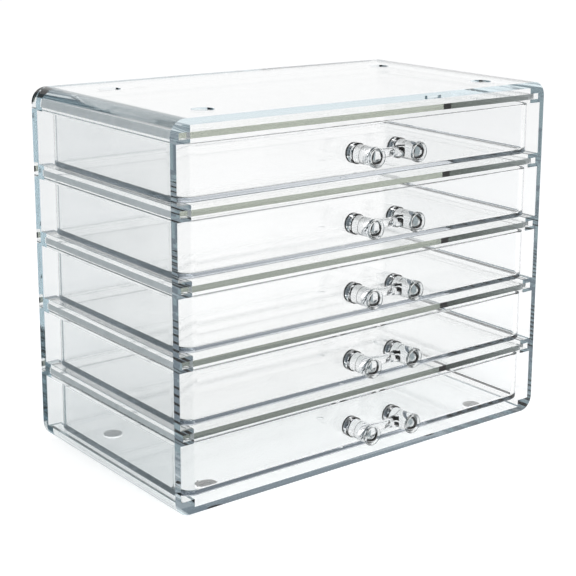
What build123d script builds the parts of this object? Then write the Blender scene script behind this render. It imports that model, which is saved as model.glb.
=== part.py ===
from build123d import *
import os

# Clear makeup organizer: a moulded case with C-shaped rails, five shelf plates held in the rails,
# and five drawers that ride on the tops of the rails.
# The origin is on the surface that the feet rest on, under the middle of the case and its handles.
# The drawers face -Y and slide out that way. All sizes are in millimetres.

# ---- case ----
CASE_WIDTH = 240.0
CASE_DEPTH = 130.5
CASE_HEIGHT = 188.5
CASE_WALL = 3.2
CASE_CORNER_RADIUS = 8.0

# ---- feet under the case, and the shallow recesses in its top that take another case's feet ----
FOOT_HEIGHT = 1.6
FOOT_RADIUS = 5.0
FOOT_EDGE_ROUND = 0.8
FOOT_INSET_SIDE = 30.0
FOOT_INSET_FRONT = 19.0
FOOT_INSET_REAR = 27.0
RECESS_DEPTH = 1.0
RECESS_CLEARANCE = 0.6

# ---- drawer bays ----
DRAWER_COUNT = 5
RUNNER_HEIGHT = 3.9
TOP_RAIL_DROP = 0.7

# ---- C-shaped rails on both side walls ----
RAIL_REACH = 7.5
RAIL_TOP_LIP = 2.5
RAIL_BOTTOM_LIP = 2.0
RAIL_EDGE_ROUND = 0.5
SLOT_DEPTH = 6.0
SLOT_FIT = 0.1

# ---- shelf plates ----
SHELF_THICKNESS = 3.0
SHELF_SIDE_FIT = 0.3
SHELF_REAR_GAP = 3.0
TONGUE_SETBACK = 3.0

# ---- drawers ----
DRAWER_FRONT_RECESS = 2.0
DRAWER_REAR_CLEARANCE = 5.3
DRAWER_SIDE_CLEARANCE = 3.0
DRAWER_TOP_CLEARANCE = 0.7
DRAWER_WALL = 2.2
DRAWER_FLOOR = 2.2
DRAWER_CORNER_RADIUS = 8.0
DRAWER_INNER_FOOT_ROUND = 1.2
DRAWER_OUTER_FOOT_ROUND = 1.5
DRAWER_RIM_ROUND = 0.5
GATE_MARK_RADIUS = 2.0
GATE_MARK_DEPTH = 0.4
GATE_MARK_FROM_FRONT = 42.0

# ---- handles ----
POST_SPACING = 27.0
POST_LENGTH = 19.0
COLLAR_RADIUS = 5.3
COLLAR_LENGTH = 4.0
SHAFT_RADIUS = 4.7
RIM_RADIUS = 5.2
RIM_LENGTH = 2.5
POST_EDGE_CHAMFER = 0.5
CUP_RADIUS = 4.2
CUP_DEPTH = 1.5
SPIGOT_RADIUS = 2.5
SPIGOT_FIT = 0.05
WEB_FROM_DRAWER = 10.0
WEB_END_RADIUS = 4.4
WEB_MIDDLE_RADIUS = 2.4

# ---- places worked out from the sizes above ----
CASE_BOTTOM = FOOT_HEIGHT
CASE_TOP = CASE_BOTTOM + CASE_HEIGHT
HANDLE_OVERHANG = POST_LENGTH - DRAWER_FRONT_RECESS
CASE_FRONT = (HANDLE_OVERHANG - CASE_DEPTH) / 2
CASE_BACK = CASE_FRONT + CASE_DEPTH
INNER_HALF_WIDTH = CASE_WIDTH / 2 - CASE_WALL
INNER_BOTTOM = CASE_BOTTOM + CASE_WALL
RUNNER_TOP = INNER_BOTTOM + RUNNER_HEIGHT
RAIL_HEIGHT = RAIL_TOP_LIP + SHELF_THICKNESS + RAIL_BOTTOM_LIP
CAVITY_DEPTH = CASE_DEPTH - CASE_WALL
STACK_HEIGHT = CASE_HEIGHT - 2 * CASE_WALL - RUNNER_HEIGHT - TOP_RAIL_DROP
BAY_PITCH = STACK_HEIGHT / DRAWER_COUNT
DRAWER_WIDTH = 2 * (INNER_HALF_WIDTH - DRAWER_SIDE_CLEARANCE)
DRAWER_DEPTH = CAVITY_DEPTH - DRAWER_FRONT_RECESS - DRAWER_REAR_CLEARANCE
DRAWER_HEIGHT = BAY_PITCH - RAIL_HEIGHT - DRAWER_TOP_CLEARANCE
DRAWER_FRONT = CASE_FRONT + DRAWER_FRONT_RECESS
FOOT_X = CASE_WIDTH / 2 - FOOT_INSET_SIDE
FOOT_FRONT_Y = CASE_FRONT + FOOT_INSET_FRONT
FOOT_REAR_Y = CASE_BACK - FOOT_INSET_REAR
SLOT_LENGTH = CAVITY_DEPTH - SHELF_REAR_GAP


def drawer_bottom(number):
    """Height that drawer `number` rides at, counted from the top drawer down."""
    return RUNNER_TOP + (DRAWER_COUNT - number) * BAY_PITCH


def rail_top(number):
    """Top face of the rail over drawer `number`."""
    return drawer_bottom(number) + BAY_PITCH


def shelf_bottom(number):
    return rail_top(number) - RAIL_TOP_LIP - SHELF_THICKNESS


def front_plane(y):
    """A sketch plane that faces the front, with X to the right and Z up."""
    return Plane(origin=(0, y, 0), x_dir=(1, 0, 0), z_dir=(0, -1, 0))


def rail_section(number, side):
    """Outer section of one rail; side is -1 for the left wall and 1 for the right."""
    wall_x = side * INNER_HALF_WIDTH
    tip_x = wall_x - side * RAIL_REACH
    middle = rail_top(number) - RAIL_HEIGHT / 2
    section = Pos((wall_x + tip_x) / 2, middle) * Rectangle(RAIL_REACH, RAIL_HEIGHT)
    tip_corners = [v for v in section.vertices() if abs(v.X - tip_x) < RAIL_EDGE_ROUND]
    return fillet(tip_corners, RAIL_EDGE_ROUND)


def slot_section(number, side):
    """Section of the slot that makes the rail a C and takes the shelf's edge."""
    tip_x = side * (INNER_HALF_WIDTH - RAIL_REACH)
    middle = shelf_bottom(number) + SHELF_THICKNESS / 2
    return Pos(tip_x, middle) * Rectangle(2 * SLOT_DEPTH, SHELF_THICKNESS + 2 * SLOT_FIT)


def case_outline():
    outline = Rectangle(CASE_WIDTH, CASE_HEIGHT)
    outline = fillet(outline.vertices(), CASE_CORNER_RADIUS)
    return Pos(0, CASE_BOTTOM + CASE_HEIGHT / 2) * outline


def case_hollow():
    hollow = Rectangle(CASE_WIDTH - 2 * CASE_WALL, CASE_HEIGHT - 2 * CASE_WALL)
    hollow = fillet(hollow.vertices(), CASE_CORNER_RADIUS - CASE_WALL)
    return Pos(0, CASE_BOTTOM + CASE_HEIGHT / 2) * hollow


def case_envelope():
    """The case's outer form, which also trims what is added inside its rounded corners."""
    return extrude(front_plane(CASE_BACK) * case_outline(), CASE_DEPTH)


def make_case():
    back_wall = front_plane(CASE_BACK - CASE_WALL)
    slot_stop = front_plane(CASE_BACK - CASE_WALL - SHELF_REAR_GAP)
    case = case_envelope() - extrude(back_wall * case_hollow(), CAVITY_DEPTH)
    for side in (-1, 1):
        case += make_ledge(side, INNER_BOTTOM - CASE_WALL / 2, RUNNER_TOP)
        case += make_ledge(side, rail_top(1) - RAIL_TOP_LIP / 2, CASE_TOP - CASE_WALL / 2)
        for number in range(1, DRAWER_COUNT + 1):
            case += extrude(back_wall * rail_section(number, side), CAVITY_DEPTH)
            case -= extrude(slot_stop * slot_section(number, side), SLOT_LENGTH)
    for x, y in foot_places():
        recess = Cylinder(FOOT_RADIUS + RECESS_CLEARANCE, RECESS_DEPTH)
        case -= Pos(x, y, CASE_TOP - RECESS_DEPTH / 2) * recess
    return case


def make_ledge(side, low, high):
    """Solid stretch on a side wall: the runner on the floor, and the block over the top rail."""
    x = side * (INNER_HALF_WIDTH - RAIL_REACH / 2)
    y = CASE_FRONT + CAVITY_DEPTH / 2
    ledge = Pos(x, y, (low + high) / 2) * Box(RAIL_REACH, CAVITY_DEPTH, high - low)
    return ledge & case_envelope()


def foot_places():
    return [(x, y) for y in (FOOT_FRONT_Y, FOOT_REAR_Y) for x in (-FOOT_X, FOOT_X)]


def make_shelf(number):
    """Plate whose side tongues fill the rail slots, with its front corners cut back."""
    slot_floor = INNER_HALF_WIDTH - RAIL_REACH + SLOT_DEPTH
    half_width = slot_floor - SHELF_SIDE_FIT
    y = CASE_FRONT + SLOT_LENGTH / 2
    z = shelf_bottom(number) + SHELF_THICKNESS / 2
    plate = Pos(0, y, z) * Box(2 * half_width, SLOT_LENGTH, SHELF_THICKNESS)
    notch_width = SLOT_DEPTH
    for side in (-1, 1):
        notch_x = side * (half_width - notch_width / 2 + SHELF_SIDE_FIT)
        notch_y = CASE_FRONT + TONGUE_SETBACK / 2
        plate -= Pos(notch_x, notch_y, z) * Box(notch_width, TONGUE_SETBACK, SHELF_THICKNESS)
    return plate


def make_drawer(number):
    bottom = drawer_bottom(number)
    rear = DRAWER_FRONT + DRAWER_DEPTH
    centre = Pos(0, (DRAWER_FRONT + rear) / 2, bottom)
    outline = Rectangle(DRAWER_WIDTH, DRAWER_DEPTH)
    outline = fillet(outline.vertices(), DRAWER_CORNER_RADIUS)
    hollow = Rectangle(DRAWER_WIDTH - 2 * DRAWER_WALL, DRAWER_DEPTH - 2 * DRAWER_WALL)
    hollow = fillet(hollow.vertices(), DRAWER_CORNER_RADIUS - DRAWER_WALL)
    tray = centre * extrude(outline, DRAWER_HEIGHT)
    tray = fillet(tray.faces().sort_by(Axis.Z)[0].edges(), DRAWER_OUTER_FOOT_ROUND)
    cavity = centre * Pos(0, 0, DRAWER_FLOOR) * extrude(hollow, DRAWER_HEIGHT)
    cavity = fillet(cavity.faces().sort_by(Axis.Z)[0].edges(), DRAWER_INNER_FOOT_ROUND)
    tray -= cavity
    rim = tray.faces().sort_by(Axis.Z)[-1]
    tray = fillet(rim.edges(), DRAWER_RIM_ROUND)
    gate_z = bottom + GATE_MARK_DEPTH / 2
    gate_y = DRAWER_FRONT + GATE_MARK_FROM_FRONT
    tray -= Pos(0, gate_y, gate_z) * Cylinder(GATE_MARK_RADIUS, GATE_MARK_DEPTH)
    hole_y = DRAWER_FRONT + DRAWER_WALL / 2
    for x in (-POST_SPACING / 2, POST_SPACING / 2):
        hole = Cylinder(SPIGOT_RADIUS + SPIGOT_FIT, 2 * DRAWER_WALL, rotation=(90, 0, 0))
        tray -= Pos(x, hole_y, handle_height(number)) * hole
    return tray


def handle_height(number):
    return drawer_bottom(number) + DRAWER_HEIGHT / 2


def make_post():
    """One turned post along -Y: a spigot, a collar, a shaft and a rim with a shallow cup in its end."""
    collar_end = COLLAR_LENGTH + COLLAR_RADIUS - SHAFT_RADIUS
    rim_start = POST_LENGTH - RIM_LENGTH
    section = make_face(Polyline(
        (0, -DRAWER_WALL),
        (SPIGOT_RADIUS, -DRAWER_WALL),
        (SPIGOT_RADIUS, 0),
        (COLLAR_RADIUS - POST_EDGE_CHAMFER, 0),
        (COLLAR_RADIUS, POST_EDGE_CHAMFER),
        (COLLAR_RADIUS, COLLAR_LENGTH),
        (SHAFT_RADIUS, collar_end),
        (SHAFT_RADIUS, rim_start),
        (RIM_RADIUS, rim_start + RIM_RADIUS - SHAFT_RADIUS),
        (RIM_RADIUS, POST_LENGTH - POST_EDGE_CHAMFER),
        (RIM_RADIUS - POST_EDGE_CHAMFER, POST_LENGTH),
        (CUP_RADIUS, POST_LENGTH),
        (CUP_RADIUS, POST_LENGTH - CUP_DEPTH),
        (0, POST_LENGTH - CUP_DEPTH),
        close=True,
    ))
    return revolve(section, Axis.Y).rotate(Axis.X, 180)


def make_handle(number):
    """Two posts and the arched web that the fingers pull on."""
    post = make_post()
    half = POST_SPACING / 2
    handle = Pos(-half, 0, 0) * post + Pos(half, 0, 0) * post
    handle += make_web()
    return Pos(0, DRAWER_FRONT, handle_height(number)) * handle


def make_web():
    """Round bar between the posts, thick where it meets them and thin in the middle."""
    half = POST_SPACING / 2
    with BuildSketch() as section:
        with BuildLine():
            ThreePointArc((-half, WEB_END_RADIUS), (0, WEB_MIDDLE_RADIUS), (half, WEB_END_RADIUS))
            Line((half, WEB_END_RADIUS), (half, 0))
            Line((half, 0), (-half, 0))
            Line((-half, 0), (-half, WEB_END_RADIUS))
        make_face()
    return Pos(0, -WEB_FROM_DRAWER, 0) * revolve(section.sketch, Axis.X)


def make_foot():
    disc = Cylinder(FOOT_RADIUS, FOOT_HEIGHT)
    return fillet(disc.edges().sort_by(Axis.Z)[0], FOOT_EDGE_ROUND)


def save(name, solid):
    export_step(solid, "parts/" + name + ".step")


def main():
    os.makedirs("parts", exist_ok=True)
    save("case_shell", make_case())
    for number in range(1, DRAWER_COUNT + 1):
        save("shelf_" + str(number), make_shelf(number))
        save("drawer_" + str(number), make_drawer(number))
        save("handle_" + str(number), make_handle(number))
    foot = make_foot()
    for index, (x, y) in enumerate(foot_places(), start=1):
        save("foot_" + str(index), Pos(x, y, FOOT_HEIGHT / 2) * foot)


main()
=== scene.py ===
from math import cos, radians, sin

import bpy
from mathutils import Matrix, Vector

# Clear acrylic makeup organizer on a white studio floor. All lengths are in metres.

# ---- camera, fitted to the straight edges of the case in the photograph ----
PHOTO_WIDTH_PX = 576.0
SENSOR_WIDTH_MM = 36.0
FOCAL_PX = 1392.79
PRINCIPAL_X_PX = 346.11
PRINCIPAL_Y_PX = 213.88
CAMERA_AZIMUTH = radians(39.54)
CAMERA_ELEVATION = radians(12.71)
CAMERA_ROLL = radians(0.71)
CAMERA_FROM_CASE_CORNER = Vector((-0.32417, -0.51503, 0.28348))
CAMERA_SEES_FROM = 0.01
CAMERA_SEES_TO = 50.0

# ---- the object ----
CASE_WIDTH = 0.240
CASE_DEPTH = 0.1305
HANDLE_OVERHANG = 0.017
FOOT_HEIGHT = 0.0016
BAYS = 5
FEET = 4
SHARP_EDGE_ANGLE = radians(30)
SIDE_FACING = 0.9

# ---- clear plastics: the colour that depth gives them, how soon it comes, and the waves of a surface ----
ACRYLIC_IOR = 1.49
WAVE_STRENGTH = 1.0
HAZE_FINENESS = 9.0
SHADOW_TINT = (0.95, 0.96, 0.96, 1.0)
CASE_PLASTIC = {
    "colour": (0.6, 0.76, 0.82, 1.0), "density": 5.0,
    "wave_height": 0.00001, "wave_scale": 14.0, "haze": 0.02,
}
SHELF_PLASTIC = {
    "colour": (0.5, 0.55, 0.45, 1.0), "density": 11.0,
    "wave_height": 0.00001, "wave_scale": 10.0, "haze": 0.02,
}
DRAWER_PLASTIC = {
    "colour": (0.48, 0.57, 0.66, 1.0), "density": 3.5,
    "wave_height": 0.00002, "wave_scale": 12.0, "haze": 0.02,
}
HANDLE_PLASTIC = {
    "colour": (0.5, 0.56, 0.6, 1.0), "density": 12.0,
    "wave_height": 0.00001, "wave_scale": 60.0, "haze": 0.02,
}
FOOT_PLASTIC = {
    "colour": (0.8, 0.84, 0.86, 1.0), "density": 3.0,
    "wave_height": 0.00001, "wave_scale": 80.0, "haze": 0.05,
}

# ---- sawn side edges of the shelf plates ----
SAWN_GRAIN_SCALE = 300.0
SAWN_DARK = (0.55, 0.6, 0.62, 1.0)
SAWN_PALE = (0.75, 0.78, 0.8, 1.0)
SAWN_ROUGHNESS = 0.6

# ---- backdrop and floor: how bright the camera, the plastic and plain surfaces find them ----
WHITE = (1.0, 1.0, 1.0, 1.0)
BACKDROP_SEEN = 1.0
BACKDROP_THROUGH = 1.0
BACKDROP_FILL = 0.55
FLOOR_COLOUR = (0.86, 0.865, 0.87, 1.0)
FLOOR_SIZE = 12.0
FLOOR_GLOW_SEEN = 0.55
FLOOR_GLOW_THROUGH = 0.48
FLOOR_GLOW_FILL = 0.0

# ---- ceiling, by the upward part of a direction of length 1 ----
CEILING_STARTS = 0.38
CEILING_FULL = 0.6
CEILING_TONE = 0.3

# ---- painted shade: backdrop and floor go dark for rays by their number of bounces inside the plastic, lighter again for the longest ----
TURNS_CLEAR = 4.0
TURNS_DARK = 15.0
TURNS_FAR = 30.0
TURNS_LIGHT = 44.0
FAR_SHARE = 0.8
# painted shade: the dark colour that the backdrop and floor take for rays bounced many times inside the
# plastic
PAINTED_SHADE_COLOUR = (0.17, 0.2, 0.23, 1.0)

# ---- painted reflections: dimly glowing grey cards beside the left side, seen only by rays whose glossy depth is 1 or more ----
CARD_X = -0.2
CARD_SPAN_Y = (-1.0, 0.5)
CARD_HEIGHT = 0.4
# painted reflection: the tone that the glowing cards give to reflections in the plastic
PAINTED_REFLECTION_TONE = (0.3, 0.36, 0.38, 1.0)
CARD_LIFT = 0.001
LYING_CARD_X = (-0.2, -0.1)
REFLECTED_ABOVE = 0.5

# ---- lamps ----
LAMP_SIZE = 0.6
LAMP_TARGET = Vector((0, 0, 0.08))
KEY_PLACE = (-0.5, -0.7, 0.9)
KEY_POWER = 2.5
FILL_PLACE = (0.8, -0.3, 0.7)
FILL_POWER = 1.5

# ---- how far light is followed, because clear plates lead it through many turns ----
BOUNCES_IN_ALL = 64
BOUNCES_THROUGH = 24
BOUNCES_OFF_GLOSS = 60
SHADOW_LAYERS = 16


def new_material(name):
    material = bpy.data.materials.new(name)
    material.use_nodes = True
    material.node_tree.nodes.clear()
    return material, material.node_tree.nodes, material.node_tree.links


def surface_noise(nodes, links, scale):
    """Soft noise that is fixed to the piece."""
    coordinates = nodes.new("ShaderNodeTexCoord")
    noise = nodes.new("ShaderNodeTexNoise")
    noise.inputs["Scale"].default_value = scale
    links.new(coordinates.outputs["Object"], noise.inputs["Vector"])
    return noise


def acrylic(name, colour, density, wave_height, wave_scale, haze):
    """Clear moulded plastic: coloured only by its depth, with the faint waves of a moulded surface."""
    material, nodes, links = new_material(name)
    output = nodes.new("ShaderNodeOutputMaterial")
    shader = nodes.new("ShaderNodeBsdfPrincipled")
    shader.inputs["Base Color"].default_value = WHITE
    shader.inputs["Transmission Weight"].default_value = 1.0
    shader.inputs["IOR"].default_value = ACRYLIC_IOR

    waves = surface_noise(nodes, links, wave_scale)
    waves.inputs["Detail"].default_value = 0.0
    bump = nodes.new("ShaderNodeBump")
    bump.inputs["Strength"].default_value = WAVE_STRENGTH
    bump.inputs["Distance"].default_value = wave_height
    links.new(waves.outputs["Fac"], bump.inputs["Height"])
    links.new(bump.outputs["Normal"], shader.inputs["Normal"])

    fine = surface_noise(nodes, links, wave_scale * HAZE_FINENESS)
    fine.inputs["Detail"].default_value = 0.0
    rough = nodes.new("ShaderNodeMapRange")
    rough.inputs["To Min"].default_value = 0.0
    rough.inputs["To Max"].default_value = haze
    links.new(fine.outputs["Fac"], rough.inputs["Value"])
    links.new(rough.outputs["Result"], shader.inputs["Roughness"])

    path = nodes.new("ShaderNodeLightPath")
    clear = nodes.new("ShaderNodeBsdfTransparent")
    clear.inputs["Color"].default_value = SHADOW_TINT
    mix = nodes.new("ShaderNodeMixShader")
    links.new(path.outputs["Is Shadow Ray"], mix.inputs["Fac"])
    links.new(shader.outputs["BSDF"], mix.inputs[1])
    links.new(clear.outputs["BSDF"], mix.inputs[2])
    links.new(mix.outputs["Shader"], output.inputs["Surface"])

    absorb = nodes.new("ShaderNodeVolumeAbsorption")
    absorb.inputs["Color"].default_value = colour
    absorb.inputs["Density"].default_value = density
    links.new(absorb.outputs["Volume"], output.inputs["Volume"])
    return material


def sawn_edge():
    """The saw-cut side edges of the shelf plates: pale, matt and slightly mottled."""
    material, nodes, links = new_material("sawn_edge")
    output = nodes.new("ShaderNodeOutputMaterial")
    shader = nodes.new("ShaderNodeBsdfPrincipled")
    grain = surface_noise(nodes, links, SAWN_GRAIN_SCALE)
    tone = nodes.new("ShaderNodeValToRGB")
    tone.color_ramp.elements[0].color = SAWN_DARK
    tone.color_ramp.elements[1].color = SAWN_PALE
    shader.inputs["Roughness"].default_value = SAWN_ROUGHNESS
    links.new(grain.outputs["Fac"], tone.inputs["Fac"])
    links.new(tone.outputs["Color"], shader.inputs["Base Color"])
    links.new(shader.outputs["BSDF"], output.inputs["Surface"])
    return material


def numbered(word, count):
    return [word + "_" + str(number) for number in range(1, count + 1)]


def dress(node_names, material):
    for name in node_names:
        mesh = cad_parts[name].data
        mesh.materials.clear()
        mesh.materials.append(material)


def dress_side_edges(node_names, material):
    """Gives the faces that look left or right a material of their own."""
    for name in node_names:
        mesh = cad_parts[name].data
        slot = len(mesh.materials)
        mesh.materials.append(material)
        for polygon in mesh.polygons:
            if abs(polygon.normal.x) > SIDE_FACING:
                polygon.material_index = slot


def smooth(node_names):
    for name in node_names:
        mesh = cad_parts[name].data
        for polygon in mesh.polygons:
            polygon.use_smooth = True
        mesh.set_sharp_from_angle(angle=SHARP_EDGE_ANGLE)


def make_camera():
    data = bpy.data.cameras.new("camera")
    camera = bpy.data.objects.new("camera", data)
    bpy.context.scene.collection.objects.link(camera)
    forward = Vector((
        sin(CAMERA_AZIMUTH) * cos(CAMERA_ELEVATION),
        cos(CAMERA_AZIMUTH) * cos(CAMERA_ELEVATION),
        -sin(CAMERA_ELEVATION),
    ))
    level_right = Vector((cos(CAMERA_AZIMUTH), -sin(CAMERA_AZIMUTH), 0.0))
    level_up = level_right.cross(forward)
    right = cos(CAMERA_ROLL) * level_right + sin(CAMERA_ROLL) * level_up
    up = cos(CAMERA_ROLL) * level_up - sin(CAMERA_ROLL) * level_right
    case_corner = Vector((-CASE_WIDTH / 2, (HANDLE_OVERHANG - CASE_DEPTH) / 2, FOOT_HEIGHT))
    place = case_corner + CAMERA_FROM_CASE_CORNER
    camera.matrix_world = Matrix((
        (right.x, up.x, -forward.x, place.x),
        (right.y, up.y, -forward.y, place.y),
        (right.z, up.z, -forward.z, place.z),
        (0.0, 0.0, 0.0, 1.0),
    ))
    data.sensor_width = SENSOR_WIDTH_MM
    data.sensor_fit = "HORIZONTAL"
    data.lens = FOCAL_PX / PHOTO_WIDTH_PX * SENSOR_WIDTH_MM
    data.shift_x = (PHOTO_WIDTH_PX / 2 - PRINCIPAL_X_PX) / PHOTO_WIDTH_PX
    data.shift_y = (PRINCIPAL_Y_PX - PHOTO_WIDTH_PX / 2) / PHOTO_WIDTH_PX
    data.clip_start = CAMERA_SEES_FROM
    data.clip_end = CAMERA_SEES_TO
    bpy.context.scene.camera = camera


def ramp(nodes, links, value, start, end, low, high):
    """A smooth change from low to high while value goes from start to end."""
    change = nodes.new("ShaderNodeMapRange")
    change.interpolation_type = "SMOOTHSTEP"
    change.inputs["From Min"].default_value = start
    change.inputs["From Max"].default_value = end
    change.inputs["To Min"].default_value = low
    change.inputs["To Max"].default_value = high
    links.new(value, change.inputs["Value"])
    return change.outputs["Result"]


def feed(links, socket, value):
    """Gives an input a plain number or the output of another node."""
    if isinstance(value, bpy.types.NodeSocket):
        links.new(value, socket)
    else:
        socket.default_value = value


def level_seen(nodes, links, by_camera, through_plastic, otherwise):
    """One level for camera rays, one for rays off gloss or through clear plastic, and one for the rest."""
    path = nodes.new("ShaderNodeLightPath")
    indirect = nodes.new("ShaderNodeMath")
    indirect.operation = "MAXIMUM"
    links.new(path.outputs["Is Glossy Ray"], indirect.inputs[0])
    links.new(path.outputs["Is Transmission Ray"], indirect.inputs[1])
    first = nodes.new("ShaderNodeMix")
    feed(links, first.inputs["A"], otherwise)
    feed(links, first.inputs["B"], through_plastic)
    links.new(indirect.outputs["Value"], first.inputs["Factor"])
    second = nodes.new("ShaderNodeMix")
    feed(links, second.inputs["B"], by_camera)
    links.new(path.outputs["Is Camera Ray"], second.inputs["Factor"])
    links.new(first.outputs["Result"], second.inputs["A"])
    return second.outputs["Result"]


def share_after_turns(nodes, links):
    """How much of the plain studio a ray sees after bouncing again and again inside the plastic; the rest
    is painted shade.

    Few bounces see the white studio, more see painted shade, and the longest see part of the white again."""
    path = nodes.new("ShaderNodeLightPath")
    turns = path.outputs["Glossy Depth"]
    share = nodes.new("ShaderNodeMath")
    share.operation = "MAXIMUM"
    links.new(ramp(nodes, links, turns, TURNS_CLEAR, TURNS_DARK, 1.0, 0.0), share.inputs[0])
    links.new(ramp(nodes, links, turns, TURNS_FAR, TURNS_LIGHT, 0.0, FAR_SHARE), share.inputs[1])
    return share.outputs["Value"]


def make_world():
    """White all round, with a grey ceiling that only gloss and clear plastic show, and painted shade for
    rays that bounced many times inside the plastic.
    """
    world = bpy.data.worlds.new("studio")
    bpy.context.scene.world = world
    world.use_nodes = True
    nodes = world.node_tree.nodes
    links = world.node_tree.links
    nodes.clear()
    output = nodes.new("ShaderNodeOutputWorld")
    background = nodes.new("ShaderNodeBackground")
    background.inputs["Color"].default_value = WHITE
    coordinates = nodes.new("ShaderNodeTexCoord")
    split = nodes.new("ShaderNodeSeparateXYZ")
    links.new(coordinates.outputs["Generated"], split.inputs["Vector"])
    upward = split.outputs["Z"]
    ceiling = ramp(nodes, links, upward, CEILING_STARTS, CEILING_FULL, BACKDROP_THROUGH, CEILING_TONE)
    level = level_seen(nodes, links, BACKDROP_SEEN, ceiling, BACKDROP_FILL)
    links.new(level, background.inputs["Strength"])
    # painted shade: the backdrop goes dark for rays that bounced many times inside the plastic
    painted_shade = nodes.new("ShaderNodeBackground")
    painted_shade.inputs["Color"].default_value = PAINTED_SHADE_COLOUR
    both = nodes.new("ShaderNodeMixShader")
    links.new(share_after_turns(nodes, links), both.inputs["Fac"])
    links.new(painted_shade.outputs["Background"], both.inputs[1])
    links.new(background.outputs["Background"], both.inputs[2])
    links.new(both.outputs["Shader"], output.inputs["Surface"])


def new_sheet(name, corners, material):
    mesh = bpy.data.meshes.new(name)
    mesh.from_pydata(corners, [], [(0, 1, 2, 3)])
    mesh.materials.append(material)
    sheet = bpy.data.objects.new(name, mesh)
    bpy.context.scene.collection.objects.link(sheet)
    return sheet


def make_floor():
    """A white floor that takes the object's shadow, with a glow that keeps it as light as the backdrop;
    rays that bounced many times inside the plastic see it as painted shade instead.
    """
    material, nodes, links = new_material("white_floor")
    output = nodes.new("ShaderNodeOutputMaterial")
    diffuse = nodes.new("ShaderNodeBsdfDiffuse")
    diffuse.inputs["Color"].default_value = FLOOR_COLOUR
    glow = nodes.new("ShaderNodeEmission")
    both = nodes.new("ShaderNodeAddShader")
    level = level_seen(nodes, links, FLOOR_GLOW_SEEN, FLOOR_GLOW_THROUGH, FLOOR_GLOW_FILL)
    links.new(level, glow.inputs["Strength"])
    links.new(diffuse.outputs["BSDF"], both.inputs[0])
    links.new(glow.outputs["Emission"], both.inputs[1])
    # painted shade: the floor glows dark for rays that bounced many times inside the plastic
    painted_shade = nodes.new("ShaderNodeEmission")
    painted_shade.inputs["Color"].default_value = PAINTED_SHADE_COLOUR
    seen = nodes.new("ShaderNodeMixShader")
    links.new(share_after_turns(nodes, links), seen.inputs["Fac"])
    links.new(painted_shade.outputs["Emission"], seen.inputs[1])
    links.new(both.outputs["Shader"], seen.inputs[2])
    links.new(seen.outputs["Shader"], output.inputs["Surface"])
    half = FLOOR_SIZE / 2
    corners = [(-half, -half, 0), (half, -half, 0), (half, half, 0), (-half, half, 0)]
    floor = new_sheet("floor", corners, material)


def make_grey_card(name, corners):
    """A dimly glowing grey card that only reflections in the plastic show: a painted reflection, unseen by
    the camera and by plain light, and casting no shadow.
    """
    material, nodes, links = new_material(name)
    output = nodes.new("ShaderNodeOutputMaterial")
    # painted reflection: a dim grey glow that only rays after a reflection see
    painted_reflection = nodes.new("ShaderNodeEmission")
    painted_reflection.inputs["Color"].default_value = PAINTED_REFLECTION_TONE
    path = nodes.new("ShaderNodeLightPath")
    reflected = nodes.new("ShaderNodeMath")
    reflected.operation = "GREATER_THAN"
    reflected.inputs[1].default_value = REFLECTED_ABOVE
    unseen = nodes.new("ShaderNodeBsdfTransparent")
    either = nodes.new("ShaderNodeMixShader")
    links.new(path.outputs["Glossy Depth"], reflected.inputs[0])
    links.new(reflected.outputs["Value"], either.inputs["Fac"])
    links.new(unseen.outputs["BSDF"], either.inputs[1])
    links.new(painted_reflection.outputs["Emission"], either.inputs[2])
    links.new(either.outputs["Shader"], output.inputs["Surface"])
    card = new_sheet(name, corners, material)
    card.visible_camera = False
    card.visible_diffuse = False
    card.visible_shadow = False


def make_grey_cards():
    """One card stands beside the left side and one lies at its foot."""
    near, far = CARD_SPAN_Y
    make_grey_card("standing_card", [
        (CARD_X, near, CARD_LIFT), (CARD_X, far, CARD_LIFT),
        (CARD_X, far, CARD_HEIGHT), (CARD_X, near, CARD_HEIGHT),
    ])
    left, right = LYING_CARD_X
    make_grey_card("left_card", [
        (left, near, CARD_LIFT), (right, near, CARD_LIFT),
        (right, far, CARD_LIFT), (left, far, CARD_LIFT),
    ])


def make_lamp(name, place, power):
    data = bpy.data.lights.new(name, "AREA")
    data.shape = "DISK"
    data.size = LAMP_SIZE
    data.energy = power
    lamp = bpy.data.objects.new(name, data)
    lamp.location = place
    direction = LAMP_TARGET - Vector(place)
    lamp.rotation_euler = direction.to_track_quat("-Z", "Y").to_euler()
    bpy.context.scene.collection.objects.link(lamp)


def follow_light_far():
    settings = bpy.context.scene.cycles
    settings.max_bounces = BOUNCES_IN_ALL
    settings.transmission_bounces = BOUNCES_THROUGH
    settings.glossy_bounces = BOUNCES_OFF_GLOSS
    settings.transparent_max_bounces = SHADOW_LAYERS


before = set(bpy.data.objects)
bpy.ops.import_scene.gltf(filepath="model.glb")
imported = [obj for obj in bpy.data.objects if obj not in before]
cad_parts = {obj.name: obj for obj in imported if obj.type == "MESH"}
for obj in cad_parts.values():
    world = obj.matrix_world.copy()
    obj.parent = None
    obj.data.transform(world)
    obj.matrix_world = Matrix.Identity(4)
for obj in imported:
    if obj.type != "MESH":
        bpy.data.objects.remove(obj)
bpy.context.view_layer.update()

shelves = numbered("shelf", BAYS)
dress(["case_shell"], acrylic("acrylic_case", **CASE_PLASTIC))
dress(shelves, acrylic("acrylic_shelf", **SHELF_PLASTIC))
dress_side_edges(shelves, sawn_edge())
dress(numbered("drawer", BAYS), acrylic("acrylic_drawer", **DRAWER_PLASTIC))
dress(numbered("handle", BAYS), acrylic("acrylic_handle", **HANDLE_PLASTIC))
dress(numbered("foot", FEET), acrylic("clear_foot_pad", **FOOT_PLASTIC))
smooth(list(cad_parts))

make_camera()
make_world()
make_floor()
make_grey_cards()
make_lamp("key", KEY_PLACE, KEY_POWER)
make_lamp("fill", FILL_PLACE, FILL_POWER)
follow_light_far()
bpy.context.scene.view_settings.view_transform = "Standard"
